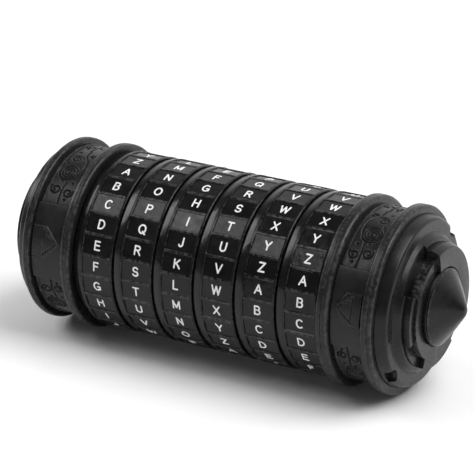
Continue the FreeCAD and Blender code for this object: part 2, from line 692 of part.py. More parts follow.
def flange_screws(side, outward, station, angle):
    """Screws through the flange into the collar's web.  The station is the flange's outer face."""
    members = []
    for number in range(FLANGE_SCREW_COUNT):
        turn = math.radians(360 / FLANGE_SCREW_COUNT * number)
        spot = Vector(math.cos(turn), math.sin(turn), 0) * value_of("flange_screw_circle")
        start = spot - Vector(0, 0, value_of("flange_thickness + web_thickness - ring_gap"))
        shank = cylinder(f"{side}_shank_{number}", "screw_radius",
                         "flange_thickness + web_thickness - ring_gap", start)
        head = cylinder(f"{side}_head_{number}", "screw_head_radius", "screw_head_height", spot)
        members.append(joined(f"{side}_screw_{number}", [shank, head]))
    place(gather(f"{side}_flange_screws", members), station, angle, outward)


def end_cap(side, outward, station, web_start, bore, lug_angle):
    """A whole end of the object, from the collar outwards."""
    disc_base = f"{collar_length(side)} - spigot_length"
    lug_base = f"{collar_length(side)} + first_step_length + second_step_length"
    finial_base = f"{lug_base} + low_lug_height"
    nut_base = f"{disc_base} + nut_pocket_depth - nut_thickness"
    stud_base = f"{disc_base} + nut_pocket_depth - stud_tail"
    stud_length = f"{finial_base} + stud_depth - ({stud_base})"
    flange_face = f"{web_start} + web_thickness + flange_thickness"

    def outside(distance):
        return f"({station} + {outward} * ({distance}))"

    angle = size["word_line_angle"]
    collar(side, outward, station, web_start, bore, angle)
    flange_screws(side, outward, outside(flange_face), angle)
    step_disc(side, outward, station)
    stud_nut(side, outward, outside(nut_base))
    lug_ring(side, outward, outside(lug_base), lug_angle)
    finial(side, outward, outside(finial_base))
    finial_stud(side, outward, outside(stud_base), stud_length)


# ---------------------------------------------------------------- whole object

def check_and_write():
    doc.recompute()
    failed = [item.Label for item in doc.Objects
              if "Invalid" in item.State or "Error" in item.State]
    if failed:
        raise SystemExit("failed objects: " + ", ".join(failed))
    for part in parts:
        if part.Shape.isNull() or not part.Shape.isValid():
            raise SystemExit("bad shape: " + part.Label)
    os.makedirs("parts", exist_ok=True)
    for part in parts:
        part.Shape.exportStep(f"parts/{part.Label}.step")
        print(f"{part.Label}: {len(part.Shape.Solids)} solid(s), {part.Shape.Volume:.1f} mm3")


fill_sheet()
for ring in range(RING_COUNT):
    letter_ring(ring)
    code_ring(ring)
    grip_ring(ring)
slotted_barrel()
retaining_screws(retaining_collar())
detent_spring()
detent_balls()
end_cap("right", 1, RIGHT_COLLAR, "0", "sleeve_radius + running_clearance", RIGHT_LUG_ANGLE)
core_tube()
tooth_bar()
tooth_bar_screws()
end_cap("left", -1, LEFT_COLLAR, "counterbore_depth", "core_radius + running_clearance", LEFT_LUG_ANGLE)
check_and_write()
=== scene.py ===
import json
import math

import bmesh
import bpy
import numpy as np
from mathutils import Matrix, Vector, kdtree


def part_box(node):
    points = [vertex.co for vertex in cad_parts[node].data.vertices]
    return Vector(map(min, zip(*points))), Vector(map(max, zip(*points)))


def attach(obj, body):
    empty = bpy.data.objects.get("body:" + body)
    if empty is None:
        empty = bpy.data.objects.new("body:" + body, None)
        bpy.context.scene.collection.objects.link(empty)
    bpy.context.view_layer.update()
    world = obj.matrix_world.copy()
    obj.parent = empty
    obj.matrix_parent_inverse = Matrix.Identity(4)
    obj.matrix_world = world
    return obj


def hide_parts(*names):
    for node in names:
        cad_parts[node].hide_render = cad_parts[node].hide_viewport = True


# A six-ring word-lock cylinder on its side.  Its axis runs along X, and angles about the axis are
# counted from the front (-Y) upwards.  Lengths are in millimetres until a mesh is made.  A corner
# of an outline is (station along the axis, radius, rounding).

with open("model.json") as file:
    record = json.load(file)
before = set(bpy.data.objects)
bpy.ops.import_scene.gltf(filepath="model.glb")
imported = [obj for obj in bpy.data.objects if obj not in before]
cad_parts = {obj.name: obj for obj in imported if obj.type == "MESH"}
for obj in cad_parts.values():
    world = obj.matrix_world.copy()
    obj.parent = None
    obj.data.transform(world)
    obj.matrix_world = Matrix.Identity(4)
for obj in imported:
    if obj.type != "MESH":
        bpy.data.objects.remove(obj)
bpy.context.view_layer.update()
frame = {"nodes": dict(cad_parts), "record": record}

MM = 0.001
RING_COUNT = 6
ALPHABET = "ABCDEFGHIJKLMNOPQRSTUVWXYZ"
CELL_ANGLE = 2 * math.pi / len(ALPHABET)
# The angle at which the letter A stands on each ring, and the pointers' line, in degrees.
LETTER_A_ANGLES = (72.4, 255.0, 155.2, 310.2, 12.2, 23.3)
POINTER_ANGLE = 12.0


def span(node):
    """Where a CAD node starts and ends along the axis, in millimetres."""
    low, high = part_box(node)
    return low.x / MM, high.x / MM


def inner_face(node, outward):
    """The station of the face that an end cap's node turns to the rings."""
    left, right = span(node)
    return left if outward > 0 else right


AXIS_HEIGHT = (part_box("right_collar")[1].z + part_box("right_collar")[0].z) / 2 / MM


# ---------------------------------------------------------------- meshes

ROUNDING_STEPS = 4
CUTTER_STEPS = 48
# Edges that turn by more degrees than this are shaded sharp.
SHARP = 30.0
# Softened pieces: the least turn of an edge that is rounded, and of one that stays sharp.
SOFT_FROM = 40.0
SOFT_SHARP = 20.0
# An edge is fully rubbed when it turns by this many degrees more than the least rubbed one.
RUBBED_RANGE = 14


def rounded(corners):
    """A closed outline whose corners are replaced by short arcs."""
    points = []
    for index, (x, r, size) in enumerate(corners):
        corner = np.array((x, r), float)
        if not size:
            points.append(corner)
            continue
        before = np.array(corners[index - 1][:2], float) - corner
        after = np.array(corners[(index + 1) % len(corners)][:2], float) - corner
        start = corner + before / np.linalg.norm(before) * size
        end = corner + after / np.linalg.norm(after) * size
        for step in range(ROUNDING_STEPS + 1):
            t = step / ROUNDING_STEPS
            points.append((1 - t) ** 2 * start + 2 * t * (1 - t) * corner + t ** 2 * end)
    return np.array(points)


def densified(outline, lowest, highest, step):
    """The outline with extra points along its stretches between two stations on the outside."""
    points = []
    for index, point in enumerate(outline):
        following = outline[(index + 1) % len(outline)]
        points.append(point)
        middle = (point + following) / 2
        if lowest < middle[0] < highest and abs(point[1] - following[1]) < 1e-6:
            count = int(abs(following[0] - point[0]) / step)
            for part in range(1, count):
                points.append(point + (following - point) * part / count)
    return np.array(points)


def to_row_frame(x, r, angle):
    """Points of the row frame, in metres, from axis station, radius and angle."""
    return np.stack((x, -r * np.cos(angle), AXIS_HEIGHT + r * np.sin(angle)), -1) * MM


def edited(mesh, change):
    """Run a change on the mesh in its editable form."""
    solid = bmesh.new()
    solid.from_mesh(mesh)
    change(solid)
    solid.to_mesh(mesh)
    solid.free()


def outwards(mesh):
    edited(mesh, lambda solid: bmesh.ops.recalc_face_normals(solid, faces=solid.faces))


def mark_rubbed(mesh, least):
    """Store on every vertex how far it stands on an outer edge, which hands rub.

    An edge counts from the least turn on, in degrees.
    """
    def mark(solid):
        layer = solid.verts.layers.float.new("rubbed")
        for vertex in solid.verts:
            turns = [edge.calc_face_angle_signed(0) for edge in vertex.link_edges]
            steepest = math.degrees(max(turns, default=0))
            vertex[layer] = min(1.0, max(0.0, (steepest - least) / RUBBED_RANGE))

    edited(mesh, mark)


def shade(mesh, sharp):
    mesh.shade_smooth()
    mesh.set_sharp_from_angle(angle=math.radians(sharp))


def new_object(name, mesh, sharp=SHARP):
    shade(mesh, sharp)
    item = bpy.data.objects.new(name, mesh)
    bpy.context.scene.collection.objects.link(item)
    return item


def turned(name, outline, angles, shape=None, sharp=SHARP, attributes=None):
    """A closed outline of (x, radius) points carried round the axis through the angles.

    shape(x, r, angle) may change the radii.  attributes(x, r, angle) gives {name: values}.
    """
    count, rings = len(angles), len(outline)
    x = np.repeat(outline[None, :, 0], count, 0)
    r = np.repeat(outline[None, :, 1], count, 0)
    angle = np.repeat(np.asarray(angles)[:, None], rings, 1)
    extra = attributes(x, r, angle) if attributes else {}
    if shape:
        r = shape(x, r, angle)
    points = to_row_frame(x, r, angle).reshape(-1, 3)
    index = np.arange(count * rings).reshape(count, rings)
    turn = np.roll(index, -1, 0)
    faces = np.stack((index, np.roll(index, -1, 1), np.roll(turn, -1, 1), turn), -1).reshape(-1, 4)
    mesh = bpy.data.meshes.new(name)
    mesh.from_pydata(points.tolist(), [], faces.tolist())
    for key, values in extra.items():
        mesh.attributes.new(key, "FLOAT", "POINT").data.foreach_set(
            "value", np.asarray(values, np.float32).ravel())
    outwards(mesh)
    return new_object(name, mesh, sharp)


def even_angles(count):
    return np.linspace(0, 2 * math.pi, count, endpoint=False)


def sector(low_x, high_x, inner, outer, start, end):
    """A closed block of a ring between two angles in degrees."""
    angles = np.radians(np.linspace(start, end, CUTTER_STEPS + 1))
    corners = np.array(((low_x, inner), (high_x, inner), (high_x, outer), (low_x, outer)))
    points = [to_row_frame(corners[:, 0], corners[:, 1], np.full(4, angle)) for angle in angles]
    faces = []
    for step in range(CUTTER_STEPS):
        for side in range(4):
            a, b = step * 4 + side, step * 4 + (side + 1) % 4
            faces.append((a, b, b + 4, a + 4))
    faces.append((3, 2, 1, 0))
    faces.append(tuple(CUTTER_STEPS * 4 + side for side in range(4)))
    mesh = bpy.data.meshes.new("sector")
    mesh.from_pydata(np.concatenate(points).tolist(), [], faces)
    outwards(mesh)
    return new_object("sector", mesh)


def round_cutter(x, length, r, angle, radius):
    """A cylinder along the axis, with its middle at a station, a radius and an angle in degrees."""
    turn = math.radians(angle)
    spot = Vector((x, -r * math.cos(turn), AXIS_HEIGHT + r * math.sin(turn))) * MM
    solid = bmesh.new()
    bmesh.ops.create_cone(
        solid, cap_ends=True, segments=CUTTER_STEPS, radius1=radius * MM, radius2=radius * MM,
        depth=length * MM, matrix=Matrix.Translation(spot) @ Matrix.Rotation(math.pi / 2, 4, "Y"))
    mesh = bpy.data.meshes.new("round_cutter")
    solid.to_mesh(mesh)
    solid.free()
    return new_object("round_cutter", mesh)


def cut(item, cutters):
    """Cut the item with each cutter, and delete the cutters."""
    for cutter in cutters:
        modifier = item.modifiers.new("cut", "BOOLEAN")
        modifier.operation = "DIFFERENCE"
        modifier.solver = "EXACT"
        modifier.object = cutter
    applied(item, SHARP)
    for cutter in cutters:
        bpy.data.objects.remove(cutter)


def applied(item, sharp):
    """Replace the item's mesh by what its modifiers make of it."""
    bpy.context.view_layer.update()
    graph = bpy.context.evaluated_depsgraph_get()
    mesh = bpy.data.meshes.new_from_object(item.evaluated_get(graph))
    item.modifiers.clear()
    item.data = mesh
    shade(mesh, sharp)


def soften(item, width):
    """Round the item's hard edges."""
    bevel = item.modifiers.new("soft_edges", "BEVEL")
    bevel.width = width * MM
    bevel.segments = 2
    bevel.limit_method = "ANGLE"
    bevel.angle_limit = math.radians(SOFT_FROM)
    applied(item, SOFT_SHARP)
    return item


# ---------------------------------------------------------------- materials

WORN_LACQUER = (0.05, 0.05, 0.053)
# Painted shade: a near-black colour laid into the engraved lines, standing in for the shade inside
# the grooves.
GROOVE_PAINTED_SHADE = (0.002, 0.002, 0.002)
GROOVE_ROUGHNESS = (0.85, 0.85, 0.85)
LACQUER_SPECULAR = 0.25


def shader(name):
    material = bpy.data.materials.new(name)
    material.use_nodes = True
    nodes = material.node_tree.nodes
    surface = nodes["Principled BSDF"]
    return material, nodes, material.node_tree.links, surface


def noise_of(nodes, links, scale, detail=4.0, stretch=(1, 1, 1)):
    """A noise in the object's own space.  The scale is in waves per metre."""
    place = nodes.new("ShaderNodeTexCoord")
    mapping = nodes.new("ShaderNodeMapping")
    mapping.inputs["Scale"].default_value = stretch
    noise = nodes.new("ShaderNodeTexNoise")
    noise.inputs["Scale"].default_value = scale
    noise.inputs["Detail"].default_value = detail
    links.new(place.outputs["Object"], mapping.inputs["Vector"])
    links.new(mapping.outputs["Vector"], noise.inputs["Vector"])
    return noise.outputs["Fac"]


def ramp_of(nodes, links, source, low, high, start=0.35, end=0.65):
    """A ramp between two greys or colours as the source goes from start to end."""
    ramp = nodes.new("ShaderNodeValToRGB")
    ramp.color_ramp.elements[0].position = start
    ramp.color_ramp.elements[1].position = end
    for element, value in zip(ramp.color_ramp.elements, (low, high)):
        colour = value if isinstance(value, tuple) else (value,) * 3
        element.color = (*colour, 1)
    links.new(source, ramp.inputs["Fac"])
    return ramp.outputs["Color"]


def attribute_of(nodes, name):
    attribute = nodes.new("ShaderNodeAttribute")
    attribute.attribute_name = name
    return attribute.outputs["Fac"]


def mixed(nodes, links, factor, first, colour):
    """The first colour, which goes over into a plain one as the factor rises."""
    plain = nodes.new("ShaderNodeRGB")
    plain.outputs[0].default_value = (*colour, 1)
    mix = nodes.new("ShaderNodeMix")
    mix.data_type = "RGBA"
    links.new(factor, mix.inputs["Factor"])
    links.new(first, mix.inputs["A"])
    links.new(plain.outputs[0], mix.inputs["B"])
    return mix.outputs["Result"]


def bump_of(nodes, links, surface, layers):
    """Bumps of (height source, strength, distance in millimetres), one on top of the other."""
    normal = None
    for height, strength, distance in layers:
        bump = nodes.new("ShaderNodeBump")
        bump.inputs["Strength"].default_value = strength
        bump.inputs["Distance"].default_value = distance * MM
        links.new(height, bump.inputs["Height"])
        if normal:
            links.new(normal, bump.inputs["Normal"])
        normal = bump.outputs["Normal"]
    links.new(normal, surface.inputs["Normal"])


def worn_edges(nodes, links, colour, worn):
    """The colour, lighter in patches along the edges that hands rub."""
    patch = ramp_of(nodes, links, noise_of(nodes, links, scale=900, detail=6), 0.0, 1.0, 0.42, 0.6)
    both = nodes.new("ShaderNodeMath")
    both.operation = "MULTIPLY"
    links.new(attribute_of(nodes, "rubbed"), both.inputs[0])
    links.new(patch, both.inputs[1])
    return mixed(nodes, links, both.outputs[0], colour, worn)


def lacquer(name, dark, light, smooth, rough, peel, ripple, carved=False):
    """Black lacquer with cloudy colour, uneven gloss, orange peel, and rubbed edges; when carved,
    painted shade darkens the engraved lines.
    """
    material, nodes, links, surface = shader(name)
    cloud = noise_of(nodes, links, scale=160, detail=5)
    colour = ramp_of(nodes, links, cloud, dark, light)
    colour = worn_edges(nodes, links, colour, WORN_LACQUER)
    patches = noise_of(nodes, links, scale=420, detail=6)
    gloss = ramp_of(nodes, links, patches, smooth, rough, 0.3, 0.7)
    if carved:
        groove = attribute_of(nodes, "carved")
        # Painted shade: the engraved lines go over into a near-black colour, and their roughness
        # rises.
        colour = mixed(nodes, links, groove, colour, GROOVE_PAINTED_SHADE)
        gloss = mixed(nodes, links, groove, gloss, GROOVE_ROUGHNESS)
    links.new(colour, surface.inputs["Base Color"])
    links.new(gloss, surface.inputs["Roughness"])
    bump_of(nodes, links, surface, (
        (noise_of(nodes, links, scale=300, detail=3), ripple, peel),
        (noise_of(nodes, links, scale=2600, detail=4), 0.12, peel / 4)))
    surface.inputs["Specular IOR Level"].default_value = LACQUER_SPECULAR
    return material


def white_filling(name):
    """White enamel of the letters, slightly uneven and a little grubby."""
    material, nodes, links, surface = shader(name)
    grime = noise_of(nodes, links, scale=1500, detail=6)
    colour = ramp_of(nodes, links, grime, (0.78, 0.78, 0.76), (0.94, 0.94, 0.93))
    links.new(colour, surface.inputs["Base Color"])
    gloss = ramp_of(nodes, links, noise_of(nodes, links, scale=3000, detail=4), 0.4, 0.6)
    links.new(gloss, surface.inputs["Roughness"])
    bump_of(nodes, links, surface, ((noise_of(nodes, links, scale=4000, detail=3), 0.15, 0.02),))
    return material


def turned_metal(name, dark, light, rough):
    """Bare metal with fine turning marks around the axis and dull patches."""
    material, nodes, links, surface = shader(name)
    marks = noise_of(nodes, links, scale=2500, detail=3, stretch=(1, 0.01, 0.01))
    cloud = noise_of(nodes, links, scale=120, detail=5)
    colour = ramp_of(nodes, links, cloud, dark, light)
    colour = worn_edges(nodes, links, colour, tuple(min(1, 1.3 * value) for value in light))
    links.new(colour, surface.inputs["Base Color"])
    gloss = ramp_of(nodes, links, marks, rough - 0.08, rough + 0.12)
    links.new(gloss, surface.inputs["Roughness"])
    bump_of(nodes, links, surface, ((marks, 0.2, 0.02), (cloud, 0.1, 0.03)))
    surface.inputs["Metallic"].default_value = 1.0
    return material


def soft_rubber(name):
    material, nodes, links, surface = shader(name)
    cloud = noise_of(nodes, links, scale=900, detail=5)
    links.new(ramp_of(nodes, links, cloud, 0.015, 0.04), surface.inputs["Base Color"])
    links.new(ramp_of(nodes, links, cloud, 0.7, 0.9), surface.inputs["Roughness"])
    bump_of(nodes, links, surface, ((noise_of(nodes, links, scale=3000, detail=3), 0.3, 0.03),))
    return material


def floor_paper(name):
    material, nodes, links, surface = shader(name)
    colour = ramp_of(nodes, links, noise_of(nodes, links, scale=3, detail=3), 0.94, 0.97)
    links.new(colour, surface.inputs["Base Color"])
    gloss = ramp_of(nodes, links, noise_of(nodes, links, scale=40, detail=3), 0.7, 0.85)
    links.new(gloss, surface.inputs["Roughness"])
    return material


MATERIALS = {
    "ring_lacquer": lacquer("ring_lacquer", dark=0.004, light=0.008, smooth=0.1, rough=0.26,
                            peel=0.09, ripple=0.9),
    "cap_lacquer": lacquer("cap_lacquer", dark=0.006, light=0.011, smooth=0.22, rough=0.34,
                           peel=0.03, ripple=0.2),
    "carved_lacquer": lacquer("carved_lacquer", dark=0.009, light=0.016, smooth=0.24, rough=0.38,
                              peel=0.03, ripple=0.2, carved=True),
    "letter_white": white_filling("letter_white"),
    "inner_metal": turned_metal("inner_metal", (0.42, 0.42, 0.44), (0.56, 0.56, 0.57), 0.3),
    "steel": turned_metal("steel", (0.32, 0.32, 0.33), (0.45, 0.45, 0.46), 0.32),
    "ball_steel": turned_metal("ball_steel", (0.6, 0.6, 0.62), (0.75, 0.75, 0.77), 0.15),
    "rubber": soft_rubber("rubber"),
}
# The least turn of a rubbed edge, in degrees, on a turned piece and on a cut and softened one.
TURNED_RUBBED_FROM = 12
CUT_RUBBED_FROM = 28


def finish_piece(item, body, material, slot, *replaced, rubbed_from=TURNED_RUBBED_FROM):
    mark_rubbed(item.data, rubbed_from)
    item.data.materials.clear()
    item.data.materials.append(MATERIALS[material])
    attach(item, body)
    if replaced:
        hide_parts(*replaced)


# ---------------------------------------------------------------- letter rings

RING_RADIUS = 25.4
CELL_RADIUS = 25.0
RING_BORE = 20.5
SHOULDER_RADIUS = 24.8
SHOULDER_LENGTH = 2.4
CELL_START = 2.9
CELL_LENGTH = 9.0
CELL_WIDTH = 5.1
WALL = 0.14
# The fall of the plain strip right of the cells, and of the ridges' edges beside each cell.
EDGE_DROP = 0.15
RIDGE_DROP = 0.06
# Half a cell and one wall's width, as angles.
HALF_CELL = CELL_WIDTH / 2 / CELL_RADIUS
WALL_ANGLE = WALL / CELL_RADIUS
# Keeps a column that stands on a cell's edge on the inner side of it.
ANGLE_SLACK = 1e-4


def cell_angles(first):
    """Angles of the grid's columns, with the edges of every cell among them."""
    offsets = (-HALF_CELL, -HALF_CELL * 0.5, 0.0, HALF_CELL * 0.5, HALF_CELL,
               HALF_CELL + WALL_ANGLE, HALF_CELL + 2 * WALL_ANGLE,
               CELL_ANGLE - HALF_CELL - 2 * WALL_ANGLE, CELL_ANGLE - HALF_CELL - WALL_ANGLE)
    return np.array([first - k * CELL_ANGLE + offset
                     for k in reversed(range(len(ALPHABET))) for offset in offsets])


def letter_ring(number):
    """One ring with a sunk, flat-floored cell for each letter."""
    node = f"letter_ring_{number + 1}"
    left, right = span(node)
    start, end = left + CELL_START, left + CELL_START + CELL_LENGTH
    outline = rounded((
        (left, RING_BORE, 0.2), (right, RING_BORE, 0.2),
        (right, RING_RADIUS - EDGE_DROP, 0.25), (end + 0.05, RING_RADIUS, 0),
        (end, RING_RADIUS, 0), (end - WALL, RING_RADIUS, 0),
        (start + WALL, RING_RADIUS, 0), (start, RING_RADIUS, 0),
        (left + SHOULDER_LENGTH, RING_RADIUS, 0.3), (left, SHOULDER_RADIUS, 0.45)))
    first = math.radians(LETTER_A_ANGLES[number])

    def cells(x, r, angle):
        offset = (angle - first + CELL_ANGLE / 2) % CELL_ANGLE - CELL_ANGLE / 2
        far = np.abs(offset)
        row = (x > start + WALL / 2) & (x < end - WALL / 2) & (r > CELL_RADIUS)
        inside = row & (far < HALF_CELL + ANGLE_SLACK)
        beside = row & (far > HALF_CELL + ANGLE_SLACK) & (far < HALF_CELL + 1.5 * WALL_ANGLE)
        r = np.where(inside, CELL_RADIUS / np.cos(offset), r)
        return np.where(beside, r - RIDGE_DROP, r)

    ring = turned(f"{node}_shell", outline, cell_angles(first), cells, sharp=24)
    finish_piece(ring, f"ring_{number + 1}", "ring_lacquer", "ring_lacquer", node)


LETTER_HEIGHT = 2.85
STROKE = 0.48
RELIEF = 0.08
# A bead of paint: points round its section, how square the section is, and its rounded ends as
# angles from the end of the path.
BEAD_POINTS = 10
BEAD_SQUARENESS = 0.6
BEAD_ENDS = np.radians((75, 50, 25))
# The height of a bead's very end, as a part of its full height.
BEAD_END_HEIGHT = 0.4


def line(*points):
    return [np.array(point, float) for point in points]


def arc(x, y, across, upwards, start, end):
    """Part of an ellipse, from one angle to the other in degrees."""
    count = max(4, int(abs(end - start) / 15))
    return [np.array((x + across * math.cos(angle), y + upwards * math.sin(angle)))
            for angle in np.radians(np.linspace(start, end, count + 1))]


# Each letter's strokes as smooth paths, in a frame one unit high.
STROKES = {
    "A": (line((0, 0), (.42, 1)), line((.84, 0), (.42, 1)), line((.15, .34), (.69, .34))),
    "B": (line((0, 0), (0, 1)), line((0, 1)) + arc(.36, .765, .24, .235, 90, -90) + line((0, .53)),
          line((0, .53)) + arc(.38, .265, .28, .265, 90, -90) + line((0, 0))),
    "C": (arc(.41, .5, .41, .5, 48, 312),),
    "D": (line((0, 0), (0, 1)), line((0, 1)) + arc(.3, .5, .43, .5, 90, -90) + line((0, 0))),
    "E": (line((0, 0), (0, 1)), line((0, 1), (.62, 1)), line((0, .53), (.57, .53)),
          line((0, 0), (.64, 0))),
    "F": (line((0, 0), (0, 1)), line((0, 1), (.58, 1)), line((0, .53), (.5, .53))),
    "G": (arc(.42, .5, .42, .5, 50, 330), line((.8, .1), (.8, .44)), line((.8, .44), (.48, .44))),
    "H": (line((0, 0), (0, 1)), line((.7, 0), (.7, 1)), line((0, .53), (.7, .53))),
    "I": (line((0, 0), (0, 1)),),
    "J": (line((.46, 1)) + arc(.23, .24, .23, .24, 0, -165),),
    "K": (line((0, 0), (0, 1)), line((.66, 1), (0, .36)), line((.24, .58), (.7, 0))),
    "L": (line((0, 0), (0, 1)), line((0, 0), (.54, 0))),
    "M": (line((0, 0), (0, 1)), line((0, 1), (.41, .1)), line((.82, 1), (.41, .1)),
          line((.82, 0), (.82, 1))),
    "N": (line((0, 0), (0, 1)), line((0, 1), (.68, 0)), line((.68, 0), (.68, 1))),
    "O": (arc(.43, .5, .43, .5, 0, 360),),
    "P": (line((0, 0), (0, 1)), line((0, 1)) + arc(.37, .74, .26, .26, 90, -90) + line((0, .48))),
    "Q": (arc(.43, .5, .43, .5, 0, 360), line((.54, .24), (.86, -.06))),
    "R": (line((0, 0), (0, 1)), line((0, 1)) + arc(.39, .755, .25, .245, 90, -90) + line((0, .51)),
          line((.36, .51), (.7, 0))),
    "S": (arc(.33, .745, .3, .255, 25, 265) + arc(.33, .25, .33, .25, 85, -158),),
    "T": (line((0, 1), (.72, 1)), line((.36, 1), (.36, 0))),
    "U": (line((0, 1)) + arc(.34, .33, .34, .33, 180, 360) + line((.68, 1)),),
    "V": (line((0, 1), (.4, 0)), line((.8, 1), (.4, 0))),
    "W": (line((0, 1), (.27, 0)), line((.27, 0), (.55, .95)), line((.55, .95), (.83, 0)),
          line((.83, 0), (1.1, 1))),
    "X": (line((0, 0), (.74, 1)), line((0, 1), (.74, 0))),
    "Y": (line((0, 1), (.38, .45)), line((.76, 1), (.38, .45)), line((.38, .45), (.38, 0))),
    "Z": (line((0, 1), (.68, 1)), line((.68, 1), (0, 0)), line((0, 0), (.7, 0))),
}


def painted_stroke(solid, path, closed, matrix):
    """A flat raised bead of paint along a path, with round ends.  The path is in millimetres."""
    half = STROKE / 2
    path = np.array(path)
    tangents = np.gradient(path, axis=0)
    if closed:
        path, tangents = path[:-1], tangents[:-1]
    tangents /= np.linalg.norm(tangents, axis=1)[:, None]
    rows = [(point, tangent, 1.0) for point, tangent in zip(path, tangents)]
    if not closed:
        rows = ([(path[0] - tangents[0] * half * math.sin(a), tangents[0], math.cos(a))
                 for a in BEAD_ENDS]
                + rows
                + [(path[-1] + tangents[-1] * half * math.sin(a), tangents[-1], math.cos(a))
                   for a in reversed(BEAD_ENDS)])
    loops = []
    for point, tangent, size in rows:
        side = np.array((-tangent[1], tangent[0]))
        height = RELIEF * (BEAD_END_HEIGHT + (1 - BEAD_END_HEIGHT) * size)
        loop = []
        for a in even_angles(BEAD_POINTS):
            wide = math.copysign(abs(math.cos(a)) ** BEAD_SQUARENESS, math.cos(a)) * half * size
            high = math.copysign(abs(math.sin(a)) ** BEAD_SQUARENESS, math.sin(a)) * height
            place = point + side * wide
            loop.append(solid.verts.new(matrix @ Vector((place[0], place[1], high))))
        loops.append(loop)
    pairs = zip(loops, loops[1:] + loops[:1] if closed else loops[1:])
    for first, second in pairs:
        for index in range(BEAD_POINTS):
            following = (index + 1) % BEAD_POINTS
            solid.faces.new((first[index], first[following], second[following], second[index]))
    if not closed:
        solid.faces.new(loops[0])
        solid.faces.new(loops[-1])


def letters(number):
    """The alphabet on one ring, running down the front."""
    node = f"letter_ring_{number + 1}"
    left = span(node)[0]
    height = LETTER_HEIGHT - STROKE
    solid = bmesh.new()
    for place, letter in enumerate(ALPHABET):
        strokes = STROKES[letter]
        points = np.concatenate([np.array(path) for path in strokes])
        middle = np.array(((points[:, 0].min() + points[:, 0].max()) / 2, 0.5))
        angle = math.radians(LETTER_A_ANGLES[number]) - place * CELL_ANGLE
        along = Vector((1, 0, 0))
        up = Vector((0, math.sin(angle), math.cos(angle)))
        spot = Vector((left + CELL_START + CELL_LENGTH / 2, -CELL_RADIUS * math.cos(angle),
                       AXIS_HEIGHT + CELL_RADIUS * math.sin(angle)))
        matrix = (Matrix.Scale(MM, 4) @ Matrix.Translation(spot)
                  @ Matrix((along, up, along.cross(up))).transposed().to_4x4())
        for path in strokes:
            closed = np.linalg.norm(path[0] - path[-1]) < 1e-6
            painted_stroke(solid, [(point - middle) * height for point in path], closed, matrix)
    bmesh.ops.recalc_face_normals(solid, faces=solid.faces)
    mesh = bpy.data.meshes.new(f"{node}_letters")
    solid.to_mesh(mesh)
    solid.free()
    item = new_object(f"{node}_letters", mesh)
    finish_piece(item, f"ring_{number + 1}", "letter_white", "letter_white")


# ---------------------------------------------------------------- ornament

BAND_RADIUS = 24.4
# Where each collar's band starts and ends, outwards from the collar's inner face.
BAND_SPANS = {"right": (3.6, 13.1), "left": (2.6, 12.9)}
# Half the length of the plain panel that carries the pointer.
PANEL_HALF = 11.1
LINE_WIDTH = 0.32
LINE_DEPTH = 0.32
# How wide a line is at its foot, as a part of its width.
LINE_FOOT = 1.3
# The plain strip between the scrollwork and the band's edge.
BORDER = 1.2
# The band's width that the motif is drawn for, the motif's length, and its first place.
FULL_WIDTH = 9.1
MOTIF_LENGTH = 21.8
MOTIF_REPEATS = 3
MOTIF_START = PANEL_HALF + 0.1
CURVE_STEP = 0.1


def smooth_step(value, low, high):
    part = np.clip((value - low) / (high - low), 0, 1)
    return part * part * (3 - 2 * part)


def spiral(across, along, outer, inner, start, turns):
    """A scroll about a centre on the unrolled band."""
    length = abs(turns) * math.pi * (outer + inner)
    t = np.linspace(0, 1, max(8, int(length / CURVE_STEP)))
    radius = outer + (inner - outer) * t
    angle = math.radians(start) + 2 * math.pi * turns * t
    return np.stack((across + radius * np.cos(angle), along + radius * np.sin(angle)), 1)


def stroke(*points):
    """A smooth curve through a few points on the unrolled band."""
    points = np.array(points, float)
    padded = np.concatenate((2 * points[:1] - points[1:2], points, 2 * points[-1:] - points[-2:-1]))
    pieces = []
    for a, b, c, d in zip(padded, padded[1:], padded[2:], padded[3:]):
        count = max(2, int(np.linalg.norm(c - b) / CURVE_STEP))
        t = np.linspace(0, 1, count)[:, None]
        pieces.append(0.5 * (2 * b + (c - a) * t + (2 * a - 5 * b + 4 * c - d) * t ** 2
                             + (3 * b - a - 3 * c + d) * t ** 3))
    return np.concatenate(pieces)


def motif(start, flip):
    """One repeat of the scrollwork on the unrolled band: stem, scrolls, rosette and dots."""
    curves = [
        stroke((4.3, 0.0), (4.5, 4.0), (4.1, 8.2)),
        spiral(2.6, 3.7, 1.45, 0.5, 150, 1.25),
        spiral(6.3, 4.4, 1.6, 0.5, 40, -1.3),
        spiral(5.2, 10.7, 2.9, 0.35, 210, 3.2),
        stroke((2.7, 9.6), (1.9, 12.6), (2.3, 15.8), (4.0, 18.6), (4.3, MOTIF_LENGTH)),
        spiral(5.7, 16.6, 1.7, 0.45, 170, -1.4),
        spiral(2.2, 18.6, 0.95, 0.35, 0, 1.2)]
    for across, along in ((2.7, 1.4), (5.7, 7.3), (2.4, 6.9), (7.2, 13.9), (6.6, 19.9)):
        curves.append(spiral(across, along, 0.25, 0.08, 0, 1.0))
    placed = []
    for curve in curves:
        across = FULL_WIDTH - curve[:, 0] if flip else curve[:, 0]
        placed.append(np.stack((across, curve[:, 1] + start), 1))
    return placed


def scrollwork(width):
    """All the engraved lines of a band, mirrored about the pointer, as a tree of their points."""
    points = []
    for number in range(MOTIF_REPEATS):
        for curve in motif(MOTIF_START + number * MOTIF_LENGTH, number % 2 == 1):
            curve = curve * (width / FULL_WIDTH, 1)
            points.append(curve)
            points.append(curve * (1, -1))
    points = np.concatenate(points)
    tree = kdtree.KDTree(len(points))
    for index, (across, along) in enumerate(points):
        tree.insert((across, along, 0), index)
    tree.balance()
    return tree


def engraving(across, along, width):
    """How deep the ornament is engraved, from 0 to 1, at points of the unrolled band."""
    tree = scrollwork(width)
    inside = (across > BORDER) & (across < width - BORDER) & (np.abs(along) > PANEL_HALF)
    near = np.full(len(across), np.inf)
    for index in np.nonzero(inside)[0]:
        near[index] = tree.find((across[index], along[index], 0))[2]
    return smooth_step(LINE_FOOT - near / LINE_WIDTH, 0, 1)


# ---------------------------------------------------------------- end caps

